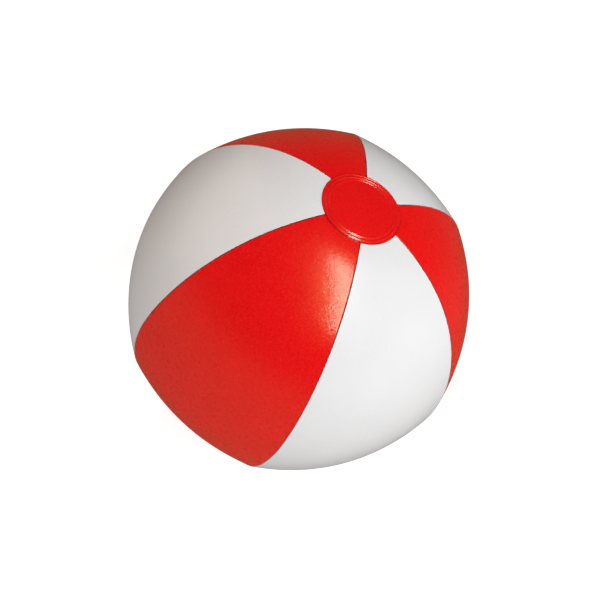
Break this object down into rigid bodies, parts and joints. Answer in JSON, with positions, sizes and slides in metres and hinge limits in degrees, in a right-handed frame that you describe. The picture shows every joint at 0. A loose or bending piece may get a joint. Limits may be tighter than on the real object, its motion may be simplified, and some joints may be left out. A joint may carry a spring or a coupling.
{
  "type": "inflatable beach ball",
  "caption": "Inflated beach ball of alternating red and white film panels that meet under a round red disc at each pole, with a push-in inflation valve in a lower rear panel.",
  "frame": {"origin": "centre of the inflated ball, which is the centre of its bounding box", "axes": "+Z through the poles, towards the upper end disc; the ball stands on its lower disc; -Y faces the middle of the front red panel, and the valve is in the white panel on the +Y side, below the equator"},
  "size_m": [0.28, 0.2716, 0.2603],
  "materials": {
    "red_film": "semi-gloss soft vinyl film, red",
    "white_film": "semi-gloss soft vinyl film, white",
    "disc_film": "semi-gloss soft vinyl film, red, with pressed weld rings",
    "valve_pvc": "milky soft vinyl moulding"
  },
  "bodies": {
    "ball": {"panel_red_front": "red_film", "panel_white_right": "white_film", "panel_red_rear_right": "red_film", "panel_white_rear": "white_film", "panel_red_rear_left": "red_film", "panel_white_left": "white_film", "end_disc_top": "disc_film", "end_disc_bottom": "disc_film", "valve_flange": "valve_pvc", "valve_collar": "valve_pvc"},
    "stem": {"valve_stem": "valve_pvc"},
    "plug": {"valve_plug": "valve_pvc", "plug_strap": "valve_pvc"},
    "flap": {"valve_flap": "valve_pvc"}
  },
  "joints": [
    {"name": "stem_pull", "type": "slide", "parent": "ball", "child": "stem", "axis": [-0.003, 0.6894, -0.7243], "range_m": [0, 0.011], "deforming": ["valve_collar"]},
    {"name": "plug_hinge", "type": "hinge", "parent": "stem", "child": "plug", "pos_m": [-0.00044, 0.10143, -0.09328], "axis": [1, 0.0044, 0], "range_deg": [0, 150]},
    {"name": "flap_hinge", "type": "hinge", "parent": "stem", "child": "flap", "pos_m": [-0.00036, 0.08177, -0.09149], "axis": [1, 0.0044, 0], "range_deg": [0, 60], "stiffness_Nm_per_rad": 0.00003}
  ]
}
